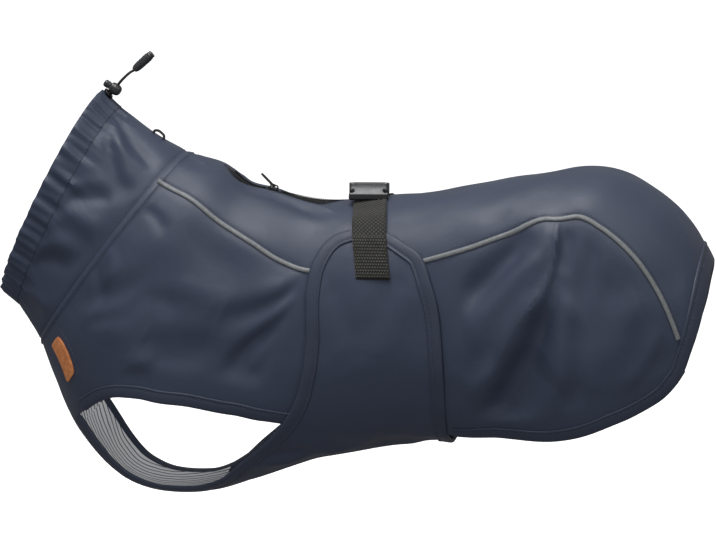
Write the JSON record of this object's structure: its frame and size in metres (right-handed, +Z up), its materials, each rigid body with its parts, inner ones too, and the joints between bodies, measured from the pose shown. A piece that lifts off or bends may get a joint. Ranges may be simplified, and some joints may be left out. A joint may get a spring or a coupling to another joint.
{
  "type": "dog raincoat",
  "caption": "Coated rain coat for a dog: high drawcord collar, back panel with zip, chest strip, and a belly flap strapped over the back with a side-release buckle.",
  "frame": {"origin": "the cloth's inner face on the spine under the girth strap, where the wearer's back holds the coat up", "axes": "+X along the back to the tail edge, -Y to the near flank, +Z up"},
  "size_m": [0.5289, 0.1556, 0.3274],
  "materials": {
    "coated_cloth": "navy woven polyester with a satin coating",
    "edge_tape": "folded tape of the same coated cloth",
    "striped_lining": "soft jersey with narrow white and dark navy stripes",
    "reflective_piping": "grey reflective piping",
    "webbing": "black polypropylene webbing, woven and doubled",
    "buckle_plastic": "dark grey moulded plastic",
    "zip_tape": "black zip tape and coil teeth",
    "zip_metal": "black painted metal",
    "drawcord": "thin black elastic cord",
    "cord_plastic": "black moulded plastic",
    "label_leather": "orange-brown leather label, blank"
  },
  "bodies": {
    "coat": {"collar_casing": "coated_cloth", "collar": "coated_cloth", "back_panel": "coated_cloth", "side_panel_near": "coated_cloth", "side_panel_far": "coated_cloth", "belly_flap": "coated_cloth", "chest_lining": "striped_lining", "leg_tape_near": "edge_tape", "leg_tape_far": "edge_tape", "hem_tape_near": "edge_tape", "hem_tape_far": "edge_tape", "tail_tape": "edge_tape", "flap_tape_front_near": "edge_tape", "flap_tape_front_far": "edge_tape", "flap_tape_rear": "edge_tape", "piping_front_near": "reflective_piping", "piping_front_far": "reflective_piping", "piping_rear_near": "reflective_piping", "piping_rear_far": "reflective_piping", "strap_near": "webbing", "strap_far": "webbing", "buckle_near": "buckle_plastic", "buckle_far": "buckle_plastic", "zip_tape_near": "zip_tape", "zip_tape_far": "zip_tape", "zip_teeth_front": "zip_tape", "zip_teeth_rear": "zip_tape", "zip_slider": "zip_metal", "zip_slider_loop": "zip_metal", "eyelet": "zip_metal", "drawcord_near": "drawcord", "drawcord_far": "drawcord", "cord_lock": "cord_plastic", "cord_lock_button": "cord_plastic", "cord_grip": "cord_plastic", "nape_loop": "drawcord", "label": "label_leather"},
    "pull_tab": {"zip_pull": "zip_metal"}
  },
  "joints": [
    {"name": "pull_tab_swing", "type": "hinge", "parent": "coat", "child": "pull_tab", "pos_m": [-0.07051, 0, 0.00903], "axis": [0, 1, 0], "range_deg": [-20, 140]}
  ]
}
